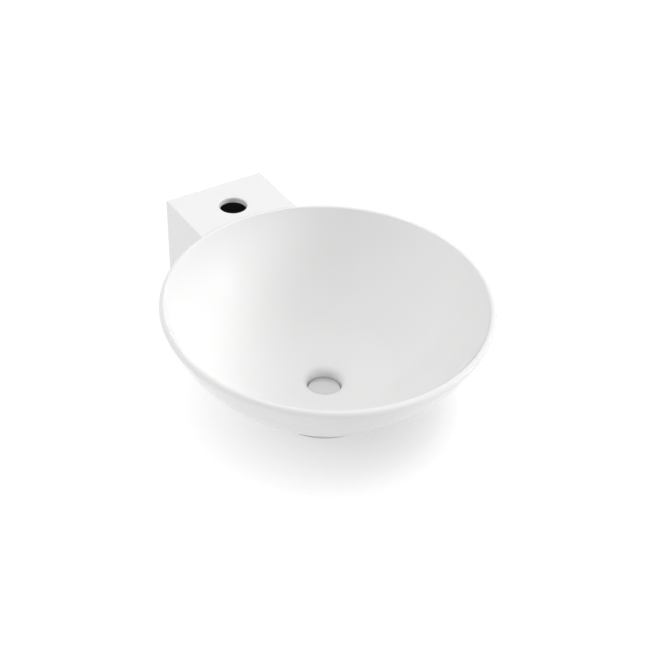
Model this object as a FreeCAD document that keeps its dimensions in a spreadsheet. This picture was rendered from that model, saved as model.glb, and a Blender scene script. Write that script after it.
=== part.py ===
import FreeCAD, Part
import Sketcher
import math
import os
import re

# A countertop basin: one glazed casting (round bowl, foot and hollow tap ledge) with a push-open
# waste fitted in its drain. Millimetres, +Z up, +Y towards the wall. The origin is on the counter,
# under the centre of the bowl, so the tail of the waste reaches below zero.

# Driving sizes
SIZES = {
    # Bowl
    "rim_radius": 200,
    "basin_height": 160,
    "lip_rounding": 4.6,
    "inner_lip_rounding": 1.7,
    "lip_flat": 0.1,
    "wall_start_angle": 20,
    "wall_thickness": 8,
    "bowl_depth": 130,
    "floor_radius": 82.6,
    "floor_angle": 14,
    "cove_radius": 90,
    # Foot under the bowl
    "foot_radius": 75,
    "foot_width": 14,
    "floor_thickness": 13,
    "boss_radius": 37,
    "boss_thickness": 16,
    "boss_overlap": 1,
    # Tap ledge
    "ledge_width": 143,
    "ledge_depth": 82,
    "ledge_wall": 11,
    "ledge_slab": 8,
    "ledge_drop": 1,
    "ledge_corner": 3,
    "ledge_edge": 2.5,
    "ledge_junction": 2.5,
    "chamber_corner": 5,
    "tap_hole_radius": 18,
    "tap_hole_setback": 29,
    "tap_hole_rounding": 2,
    # Waste body
    "throat_radius": 21.6,
    "waste_wall": 1.4,
    "mouth_rounding": 10,
    "flange_land": 1.4,
    "flange_clearance": 0.05,
    "seat_depth": 18.3,
    "seat_thickness": 1.5,
    "bore_radius": 18.2,
    "thread_radius": 20.95,
    "relief_depth": 0.75,
    "relief_height": 3.5,
    "tail_drop": 55,
    "tail_chamfer": 1,
    "bridge_height": 8,
    "bridge_arm_width": 3,
    "bridge_hub_radius": 7.5,
    # Seals and nut
    "gasket_thickness": 1,
    "washer_radius": 31,
    "washer_clearance": 0.4,
    "slip_thickness": 1,
    "thread_clearance": 0.05,
    "nut_height": 7.8,
    "nut_corner_radius": 29,
    # Plug and its push-open cartridge
    "cap_gap": 0.8,
    "cap_depth": 14.8,
    "cap_thickness": 1.6,
    "cap_rounding": 0.6,
    "seal_seat_gap": 0.2,
    "seal_reach": 2.7,
    "spigot_radius": 15.4,
    "carrier_flange": 1.5,
    "carrier_clearance": 0.8,
    "stem_radius": 3,
    "stem_clearance": 0.05,
    "piston_radius": 5.3,
    "piston_height": 8,
    "piston_clearance": 0.3,
    "plug_travel": 9,
    "travel_margin": 0.5,
    "barrel_wall": 1.9,
    "barrel_floor": 2,
    "stud_radius": 4,
    "bush_flange": 1,
    "bush_neck": 2.1,
    "bush_gap": 0.6,
    "spring_wire": 0.8,
    "spring_length": 7,
    "spring_turns": 4,
    "spring_gap": 0.2,
}

# Sizes that follow from the driving ones. The outer wall is one arc from the lip to the foot. The
# inner wall lies wall_thickness inside it and meets the floor at floor_radius, which sets the arc's
# radius. A cove touches both there. The floor and the mouth of the drain slope at floor_angle.
DERIVED = {
    "lip_top_radius": "rim_radius - lip_rounding",
    "wall_start_radius": "lip_top_radius + lip_rounding * cos(wall_start_angle)",
    "wall_start_height": "basin_height - lip_rounding * (1 + sin(wall_start_angle))",
    "mouth_radius": "throat_radius + mouth_rounding",
    "flange_radius": "mouth_radius + flange_land",
    "recess_radius": "flange_radius + flange_clearance",
    "floor_height": "basin_height - bowl_depth",
    "floor_slope": "tan(floor_angle)",
    "corner_height": "floor_height + (floor_radius - recess_radius) * floor_slope",
    "corner_run": "wall_start_radius - floor_radius",
    "corner_fall": "wall_start_height - corner_height",
    "corner_square": "corner_run ^ 2 + corner_fall ^ 2 - wall_thickness ^ 2",
    "corner_lead": "corner_run * cos(wall_start_angle) - corner_fall * sin(wall_start_angle)",
    "wall_arc_radius": "corner_square / (2 * (corner_lead - wall_thickness))",
    "arc_centre_radius": "wall_start_radius - wall_arc_radius * cos(wall_start_angle)",
    "arc_centre_height": "wall_start_height + wall_arc_radius * sin(wall_start_angle)",
    "foot_run": "foot_radius - arc_centre_radius",
    "foot_height": "arc_centre_height - sqrt(wall_arc_radius ^ 2 - foot_run ^ 2)",
    "rim_rise": "arc_centre_height - basin_height",
    "inner_arc_radius": "wall_arc_radius - wall_thickness",
    "inner_top_radius": "arc_centre_radius + sqrt(inner_arc_radius ^ 2 - rim_rise ^ 2)",
    "inner_lip_radius": "min(inner_lip_rounding; lip_top_radius - inner_top_radius - lip_flat)",
    "cove_side": "arc_centre_radius - recess_radius",
    "cove_rise": "arc_centre_height - floor_height",
    "cove_along": "cove_side * cos(floor_angle) + cove_rise * sin(floor_angle)",
    "cove_up": "cove_rise * cos(floor_angle) - cove_side * sin(floor_angle)",
    "cove_inset": "inner_arc_radius - cove_radius",
    "cove_foot": "cove_along + sqrt(cove_inset ^ 2 - (cove_up - cove_radius) ^ 2)",
    "cove_floor_radius": "recess_radius + cove_foot * cos(floor_angle)",
    "cove_floor_height": "floor_height + cove_foot * sin(floor_angle)",
    "cove_centre_radius": "cove_floor_radius - cove_radius * sin(floor_angle)",
    "cove_centre_height": "cove_floor_height + cove_radius * cos(floor_angle)",
    "cove_share": "inner_arc_radius / cove_inset",
    "cove_wall_radius": "arc_centre_radius + (cove_centre_radius - arc_centre_radius) * cove_share",
    "cove_wall_height": "arc_centre_height + (cove_centre_height - arc_centre_height) * cove_share",
    "mouth_top_radius": "mouth_radius - mouth_rounding * sin(floor_angle)",
    "mouth_top_height": "floor_height - (recess_radius - mouth_top_radius) * floor_slope",
    "mouth_height": "mouth_top_height - mouth_rounding * cos(floor_angle)",
    "under_rounding": "mouth_rounding - waste_wall",
    "under_radius": "mouth_radius - under_rounding * sin(floor_angle)",
    "under_height": "mouth_height + under_rounding * cos(floor_angle)",
    "flange_top": "floor_height - flange_clearance * floor_slope",
    "flange_under": "flange_top - waste_wall / cos(floor_angle)",
    "seat_rounding": "under_rounding - gasket_thickness",
    "seat_arc_radius": "mouth_radius - seat_rounding * sin(floor_angle)",
    "seat_arc_height": "mouth_height + seat_rounding * cos(floor_angle)",
    "gasket_under": "flange_under - gasket_thickness / cos(floor_angle)",
    "seat_height": "gasket_under + flange_clearance * floor_slope",
    "throat_outer": "throat_radius + waste_wall",
    "drain_hole_radius": "throat_outer + gasket_thickness",
    "hollow_radius": "foot_radius - foot_width",
    "hollow_height": "floor_height - floor_thickness",
    "hollow_rim_height": "hollow_height + (hollow_radius - recess_radius) * floor_slope",
    "hollow_eye_height": "hollow_height + (drain_hole_radius - recess_radius) * floor_slope",
    "boss_edge_height": "hollow_height + (boss_radius - recess_radius) * floor_slope",
    "ledge_top": "basin_height - ledge_drop",
    "ledge_back": "rim_radius + ledge_depth",
    "tap_hole_offset": "rim_radius + tap_hole_setback",
    "boss_height": "floor_height - boss_thickness",
    "plug_seat_height": "floor_height - seat_depth",
    "step_height": "plug_seat_height - seat_thickness",
    "slip_top": "step_height - washer_clearance / 2",
    "nut_top": "slip_top - slip_thickness",
    "nut_bottom": "nut_top - nut_height",
    "relief_bottom": "nut_bottom - relief_height",
    "washer_bore": "throat_outer + washer_clearance",
    "nut_bore": "thread_radius + thread_clearance",
    "cap_radius": "throat_radius - cap_gap",
    "cap_top": "floor_height - cap_depth",
    "cap_under": "cap_top - cap_thickness",
    "seal_bottom": "plug_seat_height + seal_seat_gap",
    "seal_radius": "bore_radius + seal_reach",
    "carrier_bottom": "seal_bottom - carrier_flange",
    "carrier_radius": "bore_radius - carrier_clearance",
    "bush_top": "carrier_bottom - bush_gap",
    "barrel_top": "bush_top - bush_flange",
    "bush_bottom": "barrel_top - bush_neck",
    "piston_top": "bush_bottom - plug_travel - travel_margin",
    "piston_bottom": "piston_top - piston_height",
    "barrel_inside": "piston_bottom - spring_length",
    "barrel_bottom": "barrel_inside - barrel_floor",
    "barrel_bore": "piston_radius + piston_clearance",
    "barrel_radius": "barrel_bore + barrel_wall",
    "bridge_bottom": "barrel_bottom - bridge_height",
    "spring_radius": "barrel_bore - spring_wire",
    "spring_pitch": "(spring_length - spring_wire - 2 * spring_gap) / spring_turns",
}
BRIDGE_ARMS = 3
NUT_SIDES = 6
NEAR = 1e-4

doc = FreeCAD.newDocument("countertop_basin")
sheet = doc.addObject("Spreadsheet::Sheet", "Sizes")
formulas = {name: str(value) for name, value in SIZES.items()}
formulas.update({name: "=" + formula for name, formula in DERIVED.items()})
for row, (name, content) in enumerate(formulas.items(), start=1):
    sheet.set(f"A{row}", name)
    sheet.set(f"B{row}", content)
    sheet.setAlias(f"B{row}", name)
doc.recompute()


def size(formula):
    """The value of a formula of the sheet's names, in millimetres or degrees."""
    value = sheet.evalExpression(formula)
    return float(getattr(value, "Value", value))


def bound(formula):
    """The formula as other objects write it: every name with an underscore is a cell of the sheet."""
    return re.sub(r"\b[a-z]+_[a-z_]+\b", r"Sizes.\g<0>", formula)


def new_body(label):
    body = doc.addObject("PartDesign::Body", label)
    body.Label = label
    return body


def new_sketch(body, plane_role, name):
    sketch = body.newObject("Sketcher::SketchObject", name)
    plane = next(f for f in body.Origin.OriginFeatures if f.Role == plane_role)
    sketch.AttachmentSupport = [(plane, "")]
    sketch.MapMode = "FlatFace"
    return sketch


def minor_arc(start, end, radius, side):
    """An arc whose centre lies to the left (side 1) or right (side -1) of the way from start to end."""
    across = end - start
    middle = (start + end) * 0.5
    left = FreeCAD.Vector(-across.y, across.x, 0).normalize()
    centre = middle + left * (side * math.sqrt(radius**2 - across.Length**2 / 4))
    first, last = (start, end) if side > 0 else (end, start)
    angles = [math.atan2(p.y - centre.y, p.x - centre.x) for p in (first, last)]
    circle = Part.Circle(centre, FreeCAD.Vector(0, 0, 1), radius)
    return Part.ArcOfCircle(circle, angles[0], angles[1])


def pin(sketch, edge, end, x, y):
    """Tie one end of an edge to its place, given as formulas."""
    axes = (("DistanceX", x, -2), ("DistanceY", y, -1))
    for kind, formula, axis in axes:
        value = size(formula)
        if abs(value) < NEAR:
            sketch.addConstraint(Sketcher.Constraint("PointOnObject", edge, end, axis))
            continue
        origin_first = (-1, 1, edge, end) if value > 0 else (edge, end, -1, 1)
        index = sketch.addConstraint(Sketcher.Constraint(kind, *origin_first, abs(value)))
        sign = "" if value > 0 else "-"
        sketch.setExpression(f"Constraints[{index}]", f"{sign}({bound(formula)})")


def trace(body, plane_role, name, corners):
    """A closed outline. A corner is x, y and, where an arc leads on from it, a radius and a side."""
    sketch = new_sketch(body, plane_role, name)
    points = [FreeCAD.Vector(size(corner[0]), size(corner[1]), 0) for corner in corners]
    ends = []
    for index, corner in enumerate(corners):
        start, end = points[index], points[(index + 1) % len(points)]
        if len(corner) == 2:
            sketch.addGeometry(Part.LineSegment(start, end), False)
            ends.append((1, 2))
        else:
            sketch.addGeometry(minor_arc(start, end, size(corner[2]), corner[3]), False)
            ends.append((1, 2) if corner[3] > 0 else (2, 1))
    for index, corner in enumerate(corners):
        before = index - 1 if index else len(corners) - 1
        joint = (before, ends[before][1], index, ends[index][0])
        sketch.addConstraint(Sketcher.Constraint("Coincident", *joint))
        pin(sketch, index, ends[index][0], corner[0], corner[1])
        if len(corner) > 2:
            radius = sketch.addConstraint(Sketcher.Constraint("Radius", index, size(corner[2])))
            sketch.setExpression(f"Constraints[{radius}]", bound(corner[2]))
    return sketch


def disc(body, name, x, y, radius):
    """A sketch of one circle on the counter's plane."""
    sketch = new_sketch(body, "XY_Plane", name)
    centre = FreeCAD.Vector(size(x), size(y), 0)
    circle = Part.Circle(centre, FreeCAD.Vector(0, 0, 1), size(radius))
    sketch.addGeometry(circle, False)
    pin(sketch, 0, 3, x, y)
    index = sketch.addConstraint(Sketcher.Constraint("Radius", 0, size(radius)))
    sketch.setExpression(f"Constraints[{index}]", bound(radius))
    return sketch


def spin(body, kind, sketch, name):
    """Turn a sketch round the vertical axis, as added material or as a cut."""
    feature = body.newObject(kind, name)
    feature.Profile = sketch
    feature.ReferenceAxis = (sketch, ["V_Axis"])
    feature.Angle = 360
    return feature


def turned(label, corners):
    """A body of revolution from its half section of radii and heights."""
    body = new_body(label)
    section = trace(body, "XZ_Plane", label + "_section", corners)
    spin(body, "PartDesign::Revolution", section, label + "_turning")
    return body


def raise_pad(body, sketch, name, low, high):
    """Material between two heights."""
    sketch.AttachmentOffset = FreeCAD.Placement(FreeCAD.Vector(0, 0, size(low)), FreeCAD.Rotation())
    sketch.setExpression("AttachmentOffset.Base.z", bound(low))
    pad = body.newObject("PartDesign::Pad", name)
    pad.Profile = sketch
    pad.setExpression("Length", bound(f"{high} - ({low})"))
    return pad


def cut_upwards(body, sketch, name, low, high):
    """A pocket from one height up to another, which has to remove material."""
    doc.recompute()
    before = body.Shape.Volume
    sketch.AttachmentOffset = FreeCAD.Placement(FreeCAD.Vector(0, 0, size(low)), FreeCAD.Rotation())
    sketch.setExpression("AttachmentOffset.Base.z", bound(low))
    pocket = body.newObject("PartDesign::Pocket", name)
    pocket.Profile = sketch
    pocket.Reversed = True
    pocket.setExpression("Length", bound(f"{high} - ({low})"))
    doc.recompute()
    if not body.Shape.Volume < before:
        raise RuntimeError(name + " cut nothing")
    return pocket


def round_edges(body, name, radius, wanted):
    """Round the edges of the body's last feature for which wanted(edge) holds."""
    doc.recompute()
    base = body.Tip
    names = [f"Edge{i}" for i, edge in enumerate(base.Shape.Edges, start=1) if wanted(edge)]
    if not names:
        raise RuntimeError(name + " found no edge")
    fillet = body.newObject("PartDesign::Fillet", name)
    fillet.Base = (base, names)
    fillet.setExpression("Radius", bound(radius))
    doc.recompute()
    return fillet


def points_of(edge):
    """The ends and the middle of an edge."""
    first, last = edge.ParameterRange
    return [edge.valueAt(first), edge.valueAt((first + last) / 2), edge.valueAt(last)]


def is_level(edge, height):
    """Does the edge lie at this height?"""
    return all(abs(p.z - height) < NEAR for p in points_of(edge))


def ends_behind(edge):
    """Does the edge lie behind the bowl's axis?"""
    return all(p.y > -NEAR for p in points_of(edge))


def is_circle(edge, radius, height):
    """Is the edge a circle of this radius round a vertical axis at this height?"""
    curve = edge.Curve
    if not isinstance(curve, Part.Circle):
        return False
    return abs(curve.Radius - radius) < NEAR and abs(curve.Center.z - height) < NEAR


def make_basin():
    """The glazed casting."""
    body = new_body("ceramic_basin")
    half = "ledge_width / 2"
    block = trace(body, "XY_Plane", "ledge_outline", [
        (f"-{half}", "0", half, 1),
        ("0", f"-{half}", half, 1),
        (half, "0"),
        (half, "ledge_back - ledge_corner", "ledge_corner", 1),
        (f"{half} - ledge_corner", "ledge_back"),
        (f"-{half} + ledge_corner", "ledge_back", "ledge_corner", 1),
        (f"-{half}", "ledge_back - ledge_corner"),
    ])
    raise_pad(body, block, "ledge_block", "0", "ledge_top")
    level = size("ledge_top")
    round_edges(body, "ledge_rounding", "ledge_edge", lambda e: is_level(e, level) and ends_behind(e))
    inside = f"({half} - ledge_wall)"
    chamber_back = "ledge_back - ledge_wall"
    chamber = trace(body, "XY_Plane", "chamber_outline", [
        (f"-{inside}", "0"),
        (inside, "0"),
        (inside, f"{chamber_back} - chamber_corner", "chamber_corner", 1),
        (f"{inside} - chamber_corner", chamber_back),
        (f"-{inside} + chamber_corner", chamber_back, "chamber_corner", 1),
        (f"-{inside}", f"{chamber_back} - chamber_corner"),
    ])
    cut_upwards(body, chamber, "tap_chamber", "0", "ledge_top - ledge_slab")
    outside = trace(body, "XZ_Plane", "bowl_outside", [
        ("0", "0"),
        ("foot_radius", "0"),
        ("foot_radius", "foot_height", "wall_arc_radius", 1),
        ("wall_start_radius", "wall_start_height", "lip_rounding", 1),
        ("lip_top_radius", "basin_height"),
        ("0", "basin_height"),
    ])
    spin(body, "PartDesign::Revolution", outside, "bowl")
    interior = trace(body, "XZ_Plane", "bowl_inside", [
        ("0", "basin_height"),
        ("inner_top_radius", "basin_height", "inner_arc_radius", -1),
        ("cove_wall_radius", "cove_wall_height", "cove_radius", -1),
        ("cove_floor_radius", "cove_floor_height"),
        ("recess_radius", "floor_height"),
        ("recess_radius", "seat_height"),
        ("seat_arc_radius", "seat_arc_height", "seat_rounding", 1),
        ("drain_hole_radius", "mouth_height"),
        ("drain_hole_radius", "0"),
        ("0", "0"),
    ])
    spin(body, "PartDesign::Groove", interior, "bowl_hollow")
    underside = trace(body, "XZ_Plane", "foot_inside", [
        ("0", "-floor_thickness"),
        ("hollow_radius", "-floor_thickness"),
        ("hollow_radius", "hollow_rim_height"),
        ("drain_hole_radius", "hollow_eye_height"),
        ("0", "hollow_eye_height"),
    ])
    spin(body, "PartDesign::Groove", underside, "foot_hollow")
    boss = trace(body, "XZ_Plane", "boss_section", [
        ("drain_hole_radius", "boss_height"),
        ("boss_radius", "boss_height"),
        ("boss_radius", "boss_edge_height + boss_overlap"),
        ("drain_hole_radius", "hollow_eye_height + boss_overlap"),
    ])
    spin(body, "PartDesign::Revolution", boss, "drain_boss")
    tap_hole = disc(body, "tap_hole_circle", "0", "tap_hole_offset", "tap_hole_radius")
    cut_upwards(body, tap_hole, "tap_hole", "0", "basin_height")

    side = size(half)
    foot = size("foot_radius")
    top = size("basin_height")

    def meets_ledge_side(edge):
        ends = points_of(edge)
        on_side = all(abs(abs(p.x) - side) < NEAR for p in ends)
        on_foot = all(abs(math.hypot(p.x, p.y) - foot) < NEAR for p in ends)
        return on_side and (on_foot or not isinstance(edge.Curve, Part.Line))

    round_edges(body, "junction_rounding", "ledge_junction", meets_ledge_side)
    inner_lip = size("inner_top_radius")
    round_edges(body, "inner_lip", "inner_lip_radius", lambda e: is_circle(e, inner_lip, top))
    tap_edge = size("tap_hole_radius")
    round_edges(body, "tap_hole_edge", "tap_hole_rounding", lambda e: is_circle(e, tap_edge, level))
    return body


def make_waste_body():
    """Dished flange, throat, threaded tail and the bridge that carries the cartridge."""
    body = turned("waste_body", [
        ("mouth_top_radius", "mouth_top_height", "mouth_rounding", 1),
        ("throat_radius", "mouth_height"),
        ("throat_radius", "plug_seat_height"),
        ("bore_radius", "plug_seat_height"),
        ("bore_radius", "-tail_drop"),
        ("thread_radius - tail_chamfer", "-tail_drop"),
        ("thread_radius", "tail_chamfer - tail_drop"),
        ("thread_radius", "relief_bottom"),
        ("thread_radius - relief_depth", "relief_bottom"),
        ("thread_radius - relief_depth", "nut_bottom"),
        ("thread_radius", "nut_bottom"),
        ("thread_radius", "step_height"),
        ("throat_outer", "step_height"),
        ("throat_outer", "mouth_height", "under_rounding", -1),
        ("under_radius", "under_height"),
        ("flange_radius", "flange_under"),
        ("flange_radius", "flange_top"),
    ])
    reach = "(bore_radius + thread_radius - relief_depth) / 2"
    arm_outline = trace(body, "XY_Plane", "arm_outline", [
        ("0", "-bridge_arm_width / 2"),
        (reach, "-bridge_arm_width / 2"),
        (reach, "bridge_arm_width / 2"),
        ("0", "bridge_arm_width / 2"),
    ])
    arm = raise_pad(body, arm_outline, "bridge_arm", "bridge_bottom", "barrel_bottom")
    doc.recompute()
    arms = body.newObject("PartDesign::PolarPattern", "bridge_arms")
    arms.Originals = [arm]
    arms.Axis = (arm_outline, ["N_Axis"])
    arms.Angle = 360
    arms.Occurrences = BRIDGE_ARMS
    body.Tip = arms
    hub = disc(body, "hub_circle", "0", "0", "bridge_hub_radius")
    raise_pad(body, hub, "bridge_hub", "bridge_bottom", "barrel_bottom")
    hub_bore = disc(body, "hub_bore_circle", "0", "0", "stud_radius + thread_clearance")
    cut_upwards(body, hub_bore, "hub_bore", "bridge_bottom", "barrel_bottom")
    return body


def make_seals():
    """The flange's gasket and the two washers between the ceramic and the nut."""
    turned("flange_gasket", [
        ("throat_outer", "mouth_height"),
        ("drain_hole_radius", "mouth_height", "seat_rounding", -1),
        ("seat_arc_radius", "seat_arc_height"),
        ("flange_radius", "gasket_under"),
        ("flange_radius", "flange_under"),
        ("under_radius", "under_height", "under_rounding", 1),
    ])
    turned("sealing_washer", [
        ("washer_bore", "slip_top"),
        ("washer_radius", "slip_top"),
        ("washer_radius", "boss_height"),
        ("washer_bore", "boss_height"),
    ])
    turned("slip_washer", [
        ("nut_bore", "nut_top"),
        ("washer_radius", "nut_top"),
        ("washer_radius", "slip_top"),
        ("nut_bore", "slip_top"),
    ])


def make_nut():
    """A hexagonal nut on the tail."""
    hexagon = doc.addObject("Part::Prism", "nut_hexagon")
    hexagon.Polygon = NUT_SIDES
    hexagon.setExpression("Circumradius", bound("nut_corner_radius"))
    hexagon.setExpression("Height", bound("nut_height"))
    bore = doc.addObject("Part::Cylinder", "nut_bore_cylinder")
    bore.setExpression("Radius", bound("nut_bore"))
    bore.setExpression("Height", bound("nut_height"))
    for piece in (hexagon, bore):
        piece.setExpression("Placement.Base.z", bound("nut_bottom"))
    nut = doc.addObject("Part::Cut", "back_nut")
    nut.Label = "back_nut"
    nut.Base = hexagon
    nut.Tool = bore


def make_cartridge():
    """Barrel, guide bush and spring of the cartridge. Each half turn of the spring is part of a ring."""
    turned("cartridge_housing", [
        ("0", "bridge_bottom"),
        ("stud_radius", "bridge_bottom"),
        ("stud_radius", "barrel_bottom"),
        ("barrel_radius", "barrel_bottom"),
        ("barrel_radius", "barrel_top"),
        ("barrel_bore", "barrel_top"),
        ("barrel_bore", "barrel_inside"),
        ("0", "barrel_inside"),
    ])
    turned("cartridge_bush", [
        ("stem_radius + stem_clearance", "bush_bottom"),
        ("barrel_bore", "bush_bottom"),
        ("barrel_bore", "barrel_top"),
        ("barrel_radius", "barrel_top"),
        ("barrel_radius", "bush_top"),
        ("stem_radius + stem_clearance", "bush_top"),
    ])
    radius = size("spring_radius")
    wire = size("spring_wire / 2")
    height = size("barrel_inside + spring_gap") + wire
    across = FreeCAD.Vector(0, 1, 0)
    coils = []
    for index in range(round(2 * size("spring_turns"))):
        way = -1 if index % 2 else 1
        first = FreeCAD.Vector(way * radius, 0, height)
        height += size("spring_pitch / 2")
        last = FreeCAD.Vector(-way * radius, 0, height)
        centre = (first + last) * 0.5
        section = Part.Face(Part.Wire(Part.makeCircle(wire, first, across)))
        coils.append(section.revolve(centre, (first - centre).cross(across * way), 180))
    spring = doc.addObject("Part::Feature", "return_spring")
    spring.Label = "return_spring"
    spring.Shape = coils[0].multiFuse(coils[1:])


def make_plug():
    """Cap, seal, carrier and stem, which rise together."""
    turned("plug_stem", [
        ("0", "piston_bottom"),
        ("piston_radius", "piston_bottom"),
        ("piston_radius", "piston_top"),
        ("stem_radius", "piston_top"),
        ("stem_radius", "cap_under"),
        ("0", "cap_under"),
    ])
    turned("plug_carrier", [
        ("stem_radius", "carrier_bottom"),
        ("carrier_radius", "carrier_bottom"),
        ("carrier_radius", "seal_bottom"),
        ("spigot_radius", "seal_bottom"),
        ("spigot_radius", "cap_under"),
        ("stem_radius", "cap_under"),
    ])
    turned("plug_seal", [
        ("spigot_radius", "seal_bottom"),
        ("seal_radius", "seal_bottom"),
        ("seal_radius", "cap_under"),
        ("spigot_radius", "cap_under"),
    ])
    turned("plug_cap", [
        ("0", "cap_under"),
        ("cap_radius", "cap_under"),
        ("cap_radius", "cap_top - cap_rounding", "cap_rounding", 1),
        ("cap_radius - cap_rounding", "cap_top"),
        ("0", "cap_top"),
    ])


def check_and_write():
    """Stop on any failed object or bad solid, then write one file for each piece."""
    doc.recompute()
    for item in doc.Objects:
        if {"Invalid", "Error"} & set(item.State):
            raise RuntimeError(f"{item.Label} failed: {item.State}")
    kinds = ("PartDesign::Body", "Part::Cut", "Part::Feature")
    pieces = [item for item in doc.Objects if item.TypeId in kinds]
    for piece in pieces:
        shape = piece.Shape
        if shape.isNull() or not shape.isValid() or len(shape.Solids) != 1:
            raise RuntimeError(f"{piece.Label} is not one valid solid")
    os.makedirs("parts", exist_ok=True)
    for piece in pieces:
        piece.Shape.exportStep(f"parts/{piece.Label}.step")
        box = piece.Shape.BoundBox
        print(f"{piece.Label}: {piece.Shape.Volume:.0f} mm3, z {box.ZMin:.2f} to {box.ZMax:.2f}")


make_basin()
make_waste_body()
make_seals()
make_nut()
make_cartridge()
make_plug()
check_and_write()
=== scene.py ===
import math

import bpy
from mathutils import Matrix, Vector

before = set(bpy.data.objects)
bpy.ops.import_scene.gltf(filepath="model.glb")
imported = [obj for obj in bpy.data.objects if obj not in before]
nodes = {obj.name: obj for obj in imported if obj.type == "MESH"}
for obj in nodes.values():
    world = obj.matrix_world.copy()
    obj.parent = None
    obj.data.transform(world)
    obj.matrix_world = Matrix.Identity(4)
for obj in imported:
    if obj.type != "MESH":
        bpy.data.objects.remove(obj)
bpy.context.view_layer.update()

# The camera, fitted to the rim, the ledge, the tap hole and the drain. The rim's centre lies at
# RIM_PIXEL. Lengths are in metres, the sensor in millimetres.
IMAGE_SIZE = 660
FOCAL_PIXELS = 1200
SENSOR = 36
AZIMUTH = math.radians(-34.98)
ELEVATION = math.radians(39.53)
ROLL = math.radians(-2.92)
DISTANCE = 1.4252
RIM_CENTRE = Vector((0, 0, 0.16))
RIM_PIXEL = (328.5, 297.74)

# Soft patches of light in the sky: turn from +X and height in degrees, cosine at the edge, level
SKY_PATCHES = (
    (-30, 20, 0.97, 14.4),
    (-35, 52, 0.6, 0.91),
    (150, 20, 0.6, 0.99),
    (210, 20, 0.6, 0.9),
    (55, 52, 0.6, 1.08),
    (0, 90, 0.8, 0.3),
)

# The level of the sky where it is seen, which is plain white
SKY_SHOWN = 1

# The floor's white where it sends light on, and its width in metres
FLOOR_WHITE = 0.8
FLOOR_SPAN = 12

# Where the floor is seen, FLOOR_GLOW of its white glows and the rest is lit. The glowing share
# is
# FLOOR_OPEN in the open and fades to FLOOR_SHADE, a painted shadow, where the basin fills all
# that
# FLOOR_RAYS rays find within FLOOR_REACH metres. They spread round FLOOR_LEAN, so the painted
# shadow lies to the right.
FLOOR_GLOW = 0.85
FLOOR_OPEN = 1.1
FLOOR_SHADE = 0.58
FLOOR_REACH = 0.08
FLOOR_LEAN = (-0.41, 0.29, 0.87)
FLOOR_RAYS = 6

# Places on the basin where the clay is left without glaze, in metres. Only faces that look
# sideways or down are bare: the upward part of their normal stays under BARE_UPWARD. The bare
# clay is painted near-black, which is painted shade: it makes the ledge's hollow look dark.
CHAMBER_HALF_WIDTH = 0.0612
CHAMBER_FRONT = 0.066
CHAMBER_BACK = 0.2717
CHAMBER_TOP = 0.1513
HOLLOW_RADIUS = 0.0615
HOLLOW_TOP = 0.0245
STANDING_FACE = 0.0004
BARE_UPWARD = 0.02
CLAY_ROUGHNESS = 0.85

# Thread of the waste's tail, in metres, and the height of the plastic's grain beside its ridges
THREAD_TOP = -0.0022
THREAD_PITCH = 0.0023
THREAD_CORE = 0.0205
RIDGE_HALF = 0.5
PLASTIC_GRAIN = 0.01

# Tool marks per metre on the turned metals
STEEL_RINGS = 5200
BRASS_MARKS = 4200


class Nodes:
    """Short ways to add nodes to a tree."""

    def __init__(self, tree):
        self.tree = tree

    def node(self, kind, inputs=None, **settings):
        node = self.tree.nodes.new(kind)
        for key, value in settings.items():
            setattr(node, key, value)
        for socket, value in (inputs or {}).items():
            self.feed(node.inputs[socket], value)
        return node

    def feed(self, socket, value):
        """Link another socket to this one, or give it a plain value."""
        if isinstance(value, bpy.types.NodeSocket):
            self.tree.links.new(value, socket)
        else:
            socket.default_value = value

    def math(self, operation, first, second=0.0):
        return self.node("ShaderNodeMath", {0: first, 1: second}, operation=operation).outputs[0]

    def span(self, factor, low, high):
        """A number from low to high, as the factor goes from 0 to 1."""
        inputs = {"Value": factor, "To Min": low, "To Max": high}
        return self.node("ShaderNodeMapRange", inputs).outputs["Result"]

    def seen_directly(self):
        """1 for what the camera sees, straight, mirrored or through glass."""
        rays = self.node("ShaderNodeLightPath").outputs
        seen = rays["Is Camera Ray"]
        for name in ("Is Glossy Ray", "Is Transmission Ray"):
            seen = self.math("MAXIMUM", seen, rays[name])
        return seen


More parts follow.
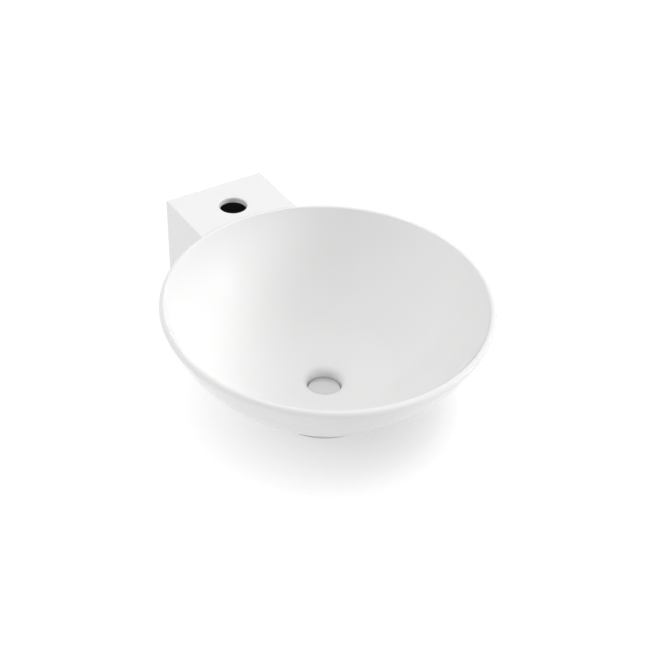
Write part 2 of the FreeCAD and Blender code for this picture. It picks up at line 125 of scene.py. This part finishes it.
class Shading(Nodes):
    """A material of nodes round one Principled shader."""

    def __init__(self, name, **constants):
        self.material = bpy.data.materials.new(name)
        self.material.use_nodes = True
        super().__init__(self.material.node_tree)
        self.shader = self.tree.nodes["Principled BSDF"]
        for socket, value in constants.items():
            self.shader.inputs[socket].default_value = value
        self.place = self.node("ShaderNodeTexCoord").outputs["Object"]
        self.axes = self.node("ShaderNodeSeparateXYZ", {0: self.place}).outputs

    def every(self, *tests):
        """1 where all the tests hold."""
        result = tests[0]
        for test in tests[1:]:
            result = self.math("MULTIPLY", result, test)
        return result

    def below(self, value, limit):
        return self.math("LESS_THAN", value, limit)

    def above(self, value, limit):
        return self.math("GREATER_THAN", value, limit)

    def radius(self):
        """Distance from the bowl's axis."""
        flat = self.node("ShaderNodeCombineXYZ", {0: self.axes[0], 1: self.axes[1]}).outputs[0]
        return self.node("ShaderNodeVectorMath", {0: flat}, operation="LENGTH").outputs["Value"]

    def noise(self, scale, detail=2.0):
        inputs = {"Vector": self.place, "Scale": scale, "Detail": detail}
        return self.node("ShaderNodeTexNoise", inputs).outputs["Fac"]

    def lines(self, along, detail):
        """Noise that changes along one number only."""
        inputs = {"W": along, "Detail": detail}
        return self.node("ShaderNodeTexNoise", inputs, noise_dimensions="1D").outputs["Fac"]

    def tint(self, factor, first, second):
        """A colour between two others."""
        mix = self.node("ShaderNodeMix", {"Factor": factor}, data_type="RGBA")
        ends = [socket for socket in mix.inputs if socket.type == "RGBA"]
        for end, colour in zip(ends, (first, second)):
            given = isinstance(colour, bpy.types.NodeSocket)
            self.feed(end, colour if given else (*colour, 1))
        return next(socket for socket in mix.outputs if socket.type == "RGBA")

    def finish(self, colour, roughness, height, depth, strength):
        inputs = {"Height": height, "Distance": depth, "Strength": strength}
        bump = self.node("ShaderNodeBump", inputs)
        self.feed(self.shader.inputs["Base Color"], colour)
        self.feed(self.shader.inputs["Roughness"], roughness)
        self.feed(self.shader.inputs["Normal"], bump.outputs["Normal"])
        return self.material


def glaze():
    """White glaze with a faint cloudiness, and bare clay under the foot and inside the ledge,
    painted near-black as painted shade.
    """
    look = Shading("glaze", IOR=1.5)
    x, y, z = look.axes
    normal = look.node("ShaderNodeNewGeometry").outputs["True Normal"]
    upward = look.node("ShaderNodeSeparateXYZ", {0: normal}).outputs[2]
    chamber = look.every(
        look.below(look.math("ABSOLUTE", x), CHAMBER_HALF_WIDTH),
        look.above(y, CHAMBER_FRONT),
        look.below(y, CHAMBER_BACK),
        look.below(z, CHAMBER_TOP),
    )
    hollow = look.every(look.below(look.radius(), HOLLOW_RADIUS), look.below(z, HOLLOW_TOP))
    standing = look.below(z, STANDING_FACE)
    under = look.math("MAXIMUM", look.math("MAXIMUM", chamber, hollow), standing)
    bare_and_painted_shade = look.every(under, look.below(upward, BARE_UPWARD))
    clouds = look.noise(scale=7)
    white = look.tint(clouds, first=(0.875, 0.875, 0.872), second=(0.9, 0.9, 0.897))
    # The clay's near-black colour is painted shade, with real grit in it.
    grit = look.noise(scale=160, detail=5)
    clay_painted_shade = look.tint(grit, first=(0.1, 0.095, 0.09), second=(0.14, 0.133, 0.125))
    smooth = look.span(look.noise(scale=30), low=0.07, high=0.13)
    rough = look.math("MAXIMUM", smooth, look.math("MULTIPLY", bare_and_painted_shade, CLAY_ROUGHNESS))
    # Glaze, or the near-black painted shade where the clay is bare and rough.
    colour = look.tint(bare_and_painted_shade, white, clay_painted_shade)
    return look.finish(colour, rough, look.noise(scale=45), depth=0.0004, strength=0.04)


def white_plastic():
    """Gloss white, with the thread's turns on the tail."""
    look = Shading("white_plastic", IOR=1.47)
    x, y, z = look.axes
    turn = look.math("DIVIDE", look.math("ARCTAN2", y, x), math.tau)
    phase = look.math("ADD", look.math("DIVIDE", z, THREAD_PITCH), turn)
    ridges = look.math("PINGPONG", phase, RIDGE_HALF)
    threaded = look.every(look.below(z, THREAD_TOP), look.above(look.radius(), THREAD_CORE))
    grain = look.math("MULTIPLY", look.noise(scale=60), PLASTIC_GRAIN)
    height = look.math("ADD", look.every(ridges, threaded), grain)
    clouds = look.noise(scale=12)
    white = look.tint(clouds, first=(0.87, 0.87, 0.868), second=(0.895, 0.895, 0.893))
    rough = look.span(look.noise(scale=80), low=0.1, high=0.16)
    return look.finish(white, rough, height, depth=0.0018, strength=0.6)


def satin_steel():
    """Steel with the fine rings of a turned satin finish."""
    look = Shading("satin_steel", Metallic=1.0)
    rings = look.lines(look.math("MULTIPLY", look.radius(), STEEL_RINGS), detail=3.0)
    grey = look.tint(rings, first=(0.64, 0.64, 0.645), second=(0.71, 0.71, 0.71))
    rough = look.span(rings, low=0.26, high=0.4)
    return look.finish(grey, rough, rings, depth=0.00005, strength=0.12)


def turned_brass():
    """Brass with faint tool marks."""
    look = Shading("turned_brass", Metallic=1.0)
    marks = look.lines(look.math("MULTIPLY", look.axes[2], BRASS_MARKS), detail=2.0)
    gold = look.tint(look.noise(scale=90), first=(0.72, 0.55, 0.28), second=(0.8, 0.63, 0.35))
    rough = look.span(marks, low=0.22, high=0.36)
    return look.finish(gold, rough, marks, depth=0.00005, strength=0.15)


def moulded_plastic():
    """Pale plastic with a fine moulded grain."""
    look = Shading("moulded_plastic")
    pale = look.tint(look.noise(scale=40), first=(0.74, 0.74, 0.72), second=(0.8, 0.8, 0.785))
    rough = look.span(look.noise(scale=300), low=0.42, high=0.58)
    grain = look.noise(scale=900, detail=4)
    return look.finish(pale, rough, grain, depth=0.0001, strength=0.2)


def black_rubber():
    """Rubber with a dusty bloom."""
    look = Shading("black_rubber")
    bloom = look.noise(scale=120, detail=4)
    black = look.tint(bloom, first=(0.018, 0.018, 0.019), second=(0.045, 0.045, 0.046))
    rough = look.span(look.noise(scale=200), low=0.6, high=0.8)
    grain = look.noise(scale=1100, detail=3)
    return look.finish(black, rough, grain, depth=0.0001, strength=0.25)


FINISHES = {
    glaze: ["ceramic_basin"],
    white_plastic: ["waste_body"],
    satin_steel: ["plug_cap", "plug_stem", "return_spring"],
    turned_brass: ["cartridge_housing"],
    moulded_plastic: ["slip_washer", "back_nut", "cartridge_bush", "plug_carrier"],
    black_rubber: ["flange_gasket", "sealing_washer", "plug_seal"],
}


def paint():
    """Give every CAD node its material."""
    for make, names in FINISHES.items():
        material = make()
        for name in names:
            for slot in nodes[name].material_slots:
                slot.material = material


def lay_floor():
    """A white floor that keeps the basin's real shadow in its lit share and a painted shadow in
    its glow, darkest close to the foot.
    """
    bpy.ops.mesh.primitive_plane_add(size=FLOOR_SPAN)
    floor = bpy.context.object
    floor.name = "floor"
    material = bpy.data.materials.new("floor_white")
    material.use_nodes = True
    look = Nodes(material.node_tree)
    look.tree.nodes.remove(look.tree.nodes["Principled BSDF"])
    seen = look.seen_directly()
    white = look.span(seen, FLOOR_WHITE, FLOOR_WHITE * (1 - FLOOR_GLOW))
    matt = look.node("ShaderNodeBsdfDiffuse", {"Color": white}).outputs[0]
    lean = look.node("ShaderNodeCombineXYZ", dict(enumerate(FLOOR_LEAN))).outputs[0]
    inputs = {"Distance": FLOOR_REACH, "Normal": lean}
    free = look.node("ShaderNodeAmbientOcclusion", inputs, samples=FLOOR_RAYS).outputs["AO"]
    # The glow darkens near the basin: a painted shadow, not cast by the light.
    painted_shadow = look.span(free, FLOOR_GLOW * FLOOR_SHADE, FLOOR_GLOW * FLOOR_OPEN)
    level = look.math("MULTIPLY", seen, painted_shadow)
    glow = look.node("ShaderNodeEmission", {"Strength": level}).outputs[0]
    both = look.node("ShaderNodeAddShader", {0: matt, 1: glow}).outputs[0]
    look.feed(look.tree.nodes["Material Output"].inputs["Surface"], both)
    floor.data.materials.append(material)


def light():
    """A few soft patches of light in a sky that looks white."""
    world = bpy.data.worlds.new("studio")
    bpy.context.scene.world = world
    world.use_nodes = True
    sky = Nodes(world.node_tree)
    way = sky.node("ShaderNodeTexCoord").outputs["Generated"]
    total = 0.0
    for turn, height, edge, level in SKY_PATCHES:
        turn, height = math.radians(turn), math.radians(height)
        centre = (
            math.cos(turn) * math.cos(height),
            math.sin(turn) * math.cos(height),
            math.sin(height),
        )
        facing = sky.node("ShaderNodeVectorMath", {0: way, 1: centre}, operation="DOT_PRODUCT")
        inputs = {"Value": facing.outputs["Value"], "From Min": edge, "To Max": level}
        patch = sky.node("ShaderNodeMapRange", inputs, interpolation_type="SMOOTHSTEP")
        total = sky.math("ADD", total, patch.outputs["Result"])
    inputs = {"Factor": sky.seen_directly(), "A": total, "B": SKY_SHOWN}
    shown = sky.node("ShaderNodeMix", inputs).outputs["Result"]
    background = sky.tree.nodes["Background"].inputs
    background["Color"].default_value = (1, 1, 1, 1)
    sky.feed(background["Strength"], shown)


def set_camera():
    """The camera at the photograph's viewing angle."""
    ahead = Vector((
        -math.sin(AZIMUTH) * math.cos(ELEVATION),
        math.cos(AZIMUTH) * math.cos(ELEVATION),
        -math.sin(ELEVATION),
    ))
    level_right = Vector((math.cos(AZIMUTH), math.sin(AZIMUTH), 0))
    level_down = ahead.cross(level_right)
    right = level_right * math.cos(ROLL) + level_down * math.sin(ROLL)
    down = level_down * math.cos(ROLL) - level_right * math.sin(ROLL)
    across, drop = ((pixel - IMAGE_SIZE / 2) / FOCAL_PIXELS * DISTANCE for pixel in RIM_PIXEL)
    place = RIM_CENTRE - ahead * DISTANCE - right * across - down * drop
    turn = Matrix((right, -down, -ahead)).transposed().to_4x4()
    data = bpy.data.cameras.new("camera")
    data.sensor_width = SENSOR
    data.lens = FOCAL_PIXELS * SENSOR / IMAGE_SIZE
    camera = bpy.data.objects.new("camera", data)
    bpy.context.scene.collection.objects.link(camera)
    camera.matrix_world = Matrix.Translation(place) @ turn
    bpy.context.scene.camera = camera


paint()
lay_floor()
light()
set_camera()
bpy.context.scene.view_settings.view_transform = "Standard"
